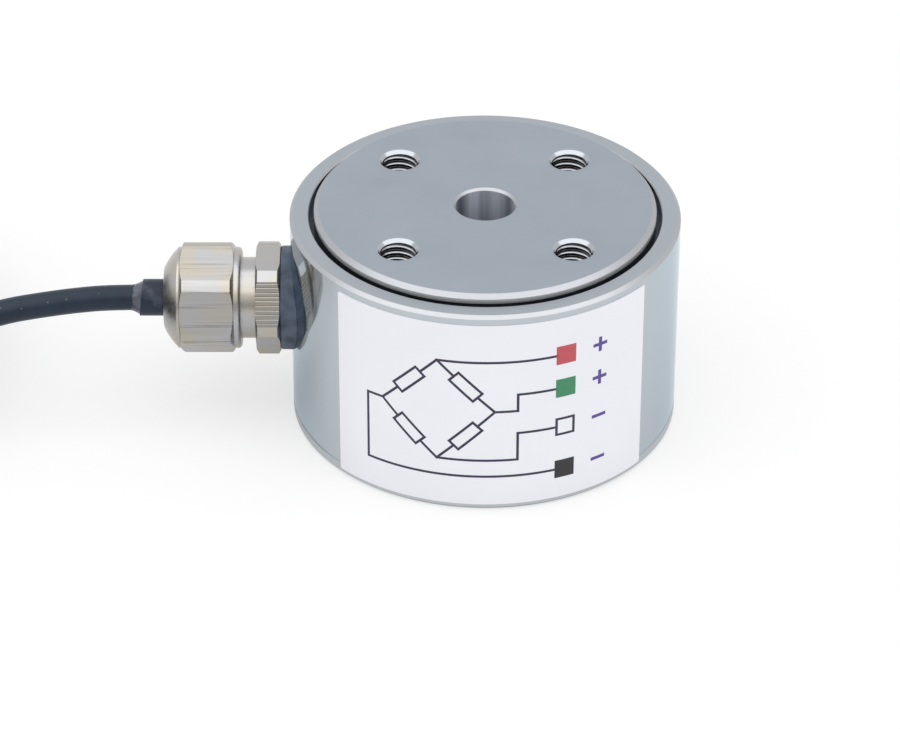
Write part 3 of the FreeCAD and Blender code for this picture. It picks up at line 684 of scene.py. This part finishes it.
def wiringShapes(spec):
    shapes = {ink: ([], []) for ink in spec["inks"]}
    lines, signs = shapes["indigo"], shapes["violet"]
    middle, reach = Vector(spec["bridge"]), spec["reach"]
    top, right, bottom, left = (middle + Vector(way) * reach for way in ((0, 1), (1, 0), (0, -1), (-1, 0)))
    for start, end in ((top, right), (right, bottom), (bottom, left), (left, top)):
        centre = (start + end) / 2
        along = (end - start).normalized()
        half = along * spec["gaugeLength"] / 2
        inkPath(lines, [start, centre - half])
        inkPath(lines, [centre + half, end])
        inkFrame(lines, centre, along, spec["gaugeLength"], spec["gaugeWidth"])

    # from each corner to its terminal
    heights = [row[0] for row in spec["terminals"]]
    bend, back = spec["bendAt"], spec["returnAt"]
    size, halfSign = spec["terminalSize"], spec["signSize"] / 2
    edge = spec["terminalAt"] - size / 2
    inkPath(lines, [top, (edge, heights[0])])
    for corner, turn, height in zip((right, bottom, left), (bend, bend, back), heights[1:]):
        inkPath(lines, [corner, (turn, corner[1]), (turn, height), (edge, height)])
    at = spec["signAt"]
    for height, ink, sign in spec["terminals"]:
        if ink in shapes:
            inkStrip(shapes[ink], (edge, height), (edge + size, height), size)
        else:
            bare = size - spec["line"]
            inkFrame(lines, (spec["terminalAt"], height), (1, 0), bare, bare)
        inkStrip(signs, (at - halfSign, height), (at + halfSign, height), spec["signLine"])
        if sign == "+":
            inkStrip(signs, (at, height - halfSign), (at, height + halfSign), spec["signLine"])
    return shapes


for ink, (vertices, faces) in wiringShapes(wiringPrint).items():
    printed = newMesh(f"label_print_{ink}", vertices, faces, screenInk(ink, wiringPrint["inks"][ink]))
    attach(printed, "root")
print("label print: ", len(wiringPrint["inks"]), "inks")


# glue squeezed out of the shrink sleeve, an uneven collar that thins out on the cable; millimetres
glueCollar = {
    "shrinkEnd": -40.0, "endLean": 0.119,  # the sleeve's slanting end
    "cableRadius": 1.5, "bury": 0.06, "thick": 0.5, "reach": 1.1,
    "hollow": 1.5,  # above 1 it is hollow as a fillet
    "around": 96, "along": 10,
    "waves": [(1, 0.08, 2.2), (3, 0.07, 0.7), (7, 0.05, 2.1), (12, 0.02, 4.0)],  # count, size and phase
}


def collarShape(spec):
    # a closed ring: the collar's section is swept round the cable, longer and thicker in the waves
    vertices, faces = [], []
    bury, skin = spec["bury"], spec["cableRadius"] - spec["bury"]
    for step in range(spec["around"]):
        angle = math.tau * step / spec["around"]
        lump = 1 + sum(size * math.sin(count * angle + phase) for count, size, phase in spec["waves"])
        section = [(-bury, skin)]
        for part in range(spec["along"] + 1):
            share = part / spec["along"]
            swell = spec["thick"] * (1 - share) ** spec["hollow"] * lump
            section.append((spec["reach"] * lump * share - bury * (1 - share), spec["cableRadius"] + swell))
        section.append((spec["reach"] * lump, skin))
        for out, radius in section:
            rise = radius * math.sin(angle)
            along = spec["shrinkEnd"] + spec["endLean"] * rise - out
            vertices.append(Vector((along, radius * math.cos(angle), gland["axisHeight"] + rise)) * mm)
    ring = len(section)
    for step in range(spec["around"]):
        here, after = step * ring, (step + 1) % spec["around"] * ring
        for corner in range(ring):
            side = (corner + 1) % ring
            faces.append((here + corner, here + side, after + side, after + corner))
    return vertices, faces


collar = newMesh("glue_collar", *collarShape(glueCollar), finishes["adhesive"])
collar.data.shade_smooth()
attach(collar, "root")
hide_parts("sleeve_adhesive")
print("glue: ", len(collar.data.polygons), "faces")


# camera, matched to the photograph's 900 x 729 frame
camera = {
    "frameWidth": 900, "frameHeight": 729,
    "focalPixels": 3980.84,
    "elevation": 32.662, "azimuth": -0.664, "roll": 0.415,  # degrees
    "distance": 465.27 * mm,
    "target": Vector((0, 0, 12.6 * mm)), "targetPixel": (484.46, 309.47),
    "sensor": 36.0, "clip": (0.01, 10),
}


def makeCamera(spec):
    elevation, azimuth, roll = (math.radians(spec[k]) for k in ("elevation", "azimuth", "roll"))
    back = Vector((math.sin(azimuth) * math.cos(elevation), -math.cos(azimuth) * math.cos(elevation),
                   math.sin(elevation)))
    right = Vector((math.cos(azimuth), math.sin(azimuth), 0))
    up = back.cross(right)
    axes = Matrix((
        math.cos(roll) * right + math.sin(roll) * up,
        math.cos(roll) * up - math.sin(roll) * right,
        back,
    )).transposed()
    # turn the axes so that the target lands on its own pixel
    towards = Vector((
        (spec["targetPixel"][0] - spec["frameWidth"] / 2) / spec["focalPixels"],
        (spec["frameHeight"] / 2 - spec["targetPixel"][1]) / spec["focalPixels"],
        -1,
    ))
    aim = Vector((0, 0, -1)).rotation_difference(towards).to_matrix()
    data = bpy.data.cameras.new("camera")
    data.sensor_width = spec["sensor"]
    data.lens = spec["focalPixels"] / spec["frameWidth"] * spec["sensor"]
    data.clip_start, data.clip_end = spec["clip"]
    obj = newObject("camera", data)
    place = Matrix.Translation(spec["target"] + back * spec["distance"])
    obj.matrix_world = place @ (axes @ aim.transposed()).to_4x4()
    bpy.context.scene.camera = obj


makeCamera(camera)
print("camera set")


# cable: out of the gland, into a tied coil, and its loose end; millimetres
cable = {
    "diameter": 3.0, "roundness": 5, "metres": 2.98,
    "run": [
        (-39.0, 0.0, 14.25), (-43.4, 0.0, 14.25), (-47.4, -0.35, 14.08), (-51.6, -1.05, 13.85),
        (-56.2, -2.0, 13.52), (-62.0, -4.6, 12.8), (-68.6, -10.2, 11.8), (-75.6, -15.2, 11.15),
    ],
    "tail": [
        (-64.9, -4.8, 2.1), (-67.7, -11.2, 2.05), (-72.4, -16.6, 2.0), (-78.8, -20.8, 1.95),
        (-84.7, -22.8, 1.95),
    ],
    "coilCentre": (-89.0, 8.0), "innerTurn": 11.8, "columns": 6, "layers": 4, "lowestTurn": 2.1,
    "startAngle": -60.0, "pointsPerTurn": 16,
    "crossover": 0.18,  # share of each turn in which it moves to the next lane
    "stepBulge": 1.0,  # how far a turn swings out where it drops a layer
}


def coilLanes(spec):
    # (radius, height, swing) of each turn, top layer first, winding in and out by turns
    pitch = spec["diameter"]
    radii = [spec["innerTurn"] + pitch * column for column in range(spec["columns"])]
    lanes = []
    for layer in range(spec["layers"]):
        height = spec["lowestTurn"] + pitch * (spec["layers"] - 1 - layer)
        inwards = layer % 2 == 0
        swing = -spec["stepBulge"] if inwards else spec["stepBulge"]
        lanes += [(radius, height, swing) for radius in (reversed(radii) if inwards else radii)]
    return lanes


def coilPoints(spec):
    lanes = coilLanes(spec)
    perTurn = spec["pointsPerTurn"]
    outside = 1 / math.cos(math.pi / perTurn)  # control points stand outside the turn that they make
    points = []
    for step in range(1, len(lanes) * perTurn - 1):
        turn, part = divmod(step, perTurn)
        share = max(0, (part / perTurn - 1 + spec["crossover"]) / spec["crossover"])
        share = share * share * (3 - 2 * share)  # eases in and out
        radius, height, swing = lanes[turn]
        nextRadius, nextHeight, _ = lanes[min(turn + 1, len(lanes) - 1)]
        if nextHeight != height:
            radius += swing * math.sin(math.pi * share)
        else:
            radius += (nextRadius - radius) * share
        height += (nextHeight - height) * share
        angle = math.radians(spec["startAngle"] - 360 * step / perTurn)
        points.append((
            spec["coilCentre"][0] + radius * outside * math.cos(angle),
            spec["coilCentre"][1] + radius * outside * math.sin(angle),
            height,
        ))
    return points


def cordCurve(name, points, spec, material):
    # one smooth spline along the route, round in section
    curve = bpy.data.curves.new(name, "CURVE")
    curve.dimensions = "3D"
    curve.bevel_depth = spec["diameter"] / 2 * mm
    curve.bevel_resolution = spec["roundness"]
    curve.use_fill_caps = True
    spline = curve.splines.new("NURBS")
    spline.points.add(len(points) - 1)
    for point, place in zip(spline.points, points):
        point.co = (*(c * mm for c in place), 1)
    spline.order_u = 3
    spline.use_endpoint_u = True
    spline.resolution_u = 6
    curve.materials.append(material)
    return newObject(name, curve)


route = cable["run"] + coilPoints(cable) + cable["tail"]
cableObject = cordCurve("cable", route, cable, finishes["cable_jacket"])
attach(cableObject, "root")
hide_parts("cable_run", "cable_coil", "cable_tail")
print("cable: ", len(route), "points")


# bare leads at the cable's far end; millimetres
leads = {
    "diameter": 1.0, "roundness": 3,
    "routes": {
        "red": [(-84.99, -21.94, 2.24), (-88.68, -23.2, 2.24), (-94.7, -23.1, 1.0), (-102.0, -21.6, 0.5),
                (-109.0, -18.9, 0.5), (-115.2, -15.6, 0.5)],
        "white": [(-84.88, -22.27, 1.18), (-88.57, -23.52, 1.18), (-94.6, -24.3, 0.5), (-102.0, -23.2, 0.5),
                  (-109.4, -21.2, 0.5), (-116.2, -18.5, 0.5)],
        "shield": [(-84.7, -22.8, 2.9), (-88.39, -24.05, 2.9), (-94.3, -25.5, 0.9), (-101.9, -24.8, 0.5),
                   (-109.6, -23.5, 0.5), (-116.8, -21.6, 0.5)],
        "green": [(-84.52, -23.33, 1.18), (-88.21, -24.58, 1.18), (-94.0, -26.6, 0.5), (-101.5, -26.4, 0.5),
                  (-109.2, -25.7, 0.5), (-116.6, -24.6, 0.5)],
        "black": [(-84.41, -23.66, 2.24), (-88.1, -24.91, 2.24), (-93.7, -27.8, 1.0), (-101.0, -28.0, 0.5),
                  (-108.7, -27.8, 0.5), (-116.0, -27.2, 0.5)],
    },
}
leadObjects = []
for colour, points in leads["routes"].items():
    slot = "tinned_copper" if colour == "shield" else f"{colour}_insulation"
    lead = cordCurve(f"lead_wire_{colour}", points, leads, finishes[slot])
    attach(lead, "root")
    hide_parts(f"lead_{colour}")
    leadObjects.append(lead)


def metresLong(curveObject):
    # length of the spline itself, without its thickness
    bare = curveObject.copy()
    bare.data = curveObject.data.copy()
    bare.data.bevel_depth = 0
    mesh = bpy.data.meshes.new_from_object(bare)
    ends = ([mesh.vertices[index].co for index in edge.vertices] for edge in mesh.edges)
    total = sum((a - b).length for a, b in ends)
    bpy.data.objects.remove(bare)
    bpy.data.meshes.remove(mesh)
    return total


print("cable length", metresLong(cableObject), "leads", [round(metresLong(x), 4) for x in leadObjects])
for lead, points in zip(leadObjects, leads["routes"].values()):
    metresLong(lead)


# floor, light and background; metres
studio = {
    "half": 3.0,  # of the floor's and the room's width
    "floorLevel": -0.02 * mm, "floorColour": "#F2F2F2",
    "whiteSeen": 0.6, "whiteMirrored": 0.3,  # the floor's share of plain white, to the camera and in metal
    "worldLight": 0.7, "worldSeen": 1.0,  # strength of the white world, as light and as background
    "roomAway": 1.2, "roomHigh": 0.5, "roomGlow": 0.5,
    "boxAt": (0, -0.17, 0.88), "boxAim": (0, 0, 0.01), "boxSize": (2.6, 1.25), "boxPower": 9.9,
}


def whiteWorld(spec):
    # plain white to the camera and in reflections, a little dimmer as light
    world = bpy.data.worlds.new("studio")
    bpy.context.scene.world = world
    add = nodeAdder(world)
    path = add("LightPath").outputs
    shown = path["Is Camera Ray"]
    for kind in ("Is Glossy Ray", "Is Transmission Ray"):
        shown = add("Math", {0: shown, 1: path[kind]}, operation="MAXIMUM")
    strength = add("MapRange", {"Value": shown, "To Min": spec["worldLight"], "To Max": spec["worldSeen"]})
    sky = add("Background", {"Color": "#FFFFFF", "Strength": strength})
    add("OutputWorld", {"Surface": sky})


def whiteFloor(spec):
    # partly plain white and partly lit, so that it keeps the shadow
    material = bpy.data.materials.new("white floor")
    add = nodeAdder(material)
    path = add("LightPath").outputs
    mirrored = add("Math", {0: path["Is Glossy Ray"], 1: path["Is Transmission Ray"]}, operation="MAXIMUM")
    inMetal = add("Math", {0: mirrored, 1: spec["whiteMirrored"]}, operation="MULTIPLY")
    share = add("Math", {0: path["Is Camera Ray"], 1: spec["whiteSeen"], 2: inMetal},
                operation="MULTIPLY_ADD")
    lit = add("BsdfDiffuse", {"Color": spec["floorColour"]})
    glow = add("Emission", {"Color": "#FFFFFF", "Strength": 1.0})
    mix = add("MixShader", {"Fac": share, 1: lit, 2: glow})
    add("OutputMaterial", {"Surface": mix})
    half, low = spec["half"], spec["floorLevel"]
    corners = [(-half, -half, low), (half, -half, low), (half, half, low), (-half, half, low)]
    newMesh("floor", corners, [(0, 1, 2, 3)], material)


def dimRoom(spec):
    # a dim wall behind the camera, which only reflections show
    material = bpy.data.materials.new("dim room")
    add = nodeAdder(material)
    glow = add("Emission", {"Color": "#FFFFFF", "Strength": spec["roomGlow"]})
    add("OutputMaterial", {"Surface": glow})
    half, away, high = spec["half"], -spec["roomAway"], spec["roomHigh"]
    corners = [(-half, away, 0), (half, away, 0), (half, away, high), (-half, away, high)]
    room = newMesh("room", corners, [(0, 1, 2, 3)], material)
    room.visible_camera = room.visible_diffuse = room.visible_transmission = room.visible_shadow = False


def softbox(spec):
    # one large soft light, high up and a little in front
    data = bpy.data.lights.new("softbox", "AREA")
    data.shape = "RECTANGLE"
    data.size, data.size_y = spec["boxSize"]
    data.energy = spec["boxPower"]
    lamp = newObject("softbox", data)
    lamp.location = spec["boxAt"]
    lamp.rotation_euler = (Vector(spec["boxAim"]) - lamp.location).to_track_quat("-Z", "Y").to_euler()


bpy.context.scene.view_settings.view_transform = "Standard"
for build in (whiteWorld, whiteFloor, dimRoom, softbox):
    build(studio)
print("stage set")
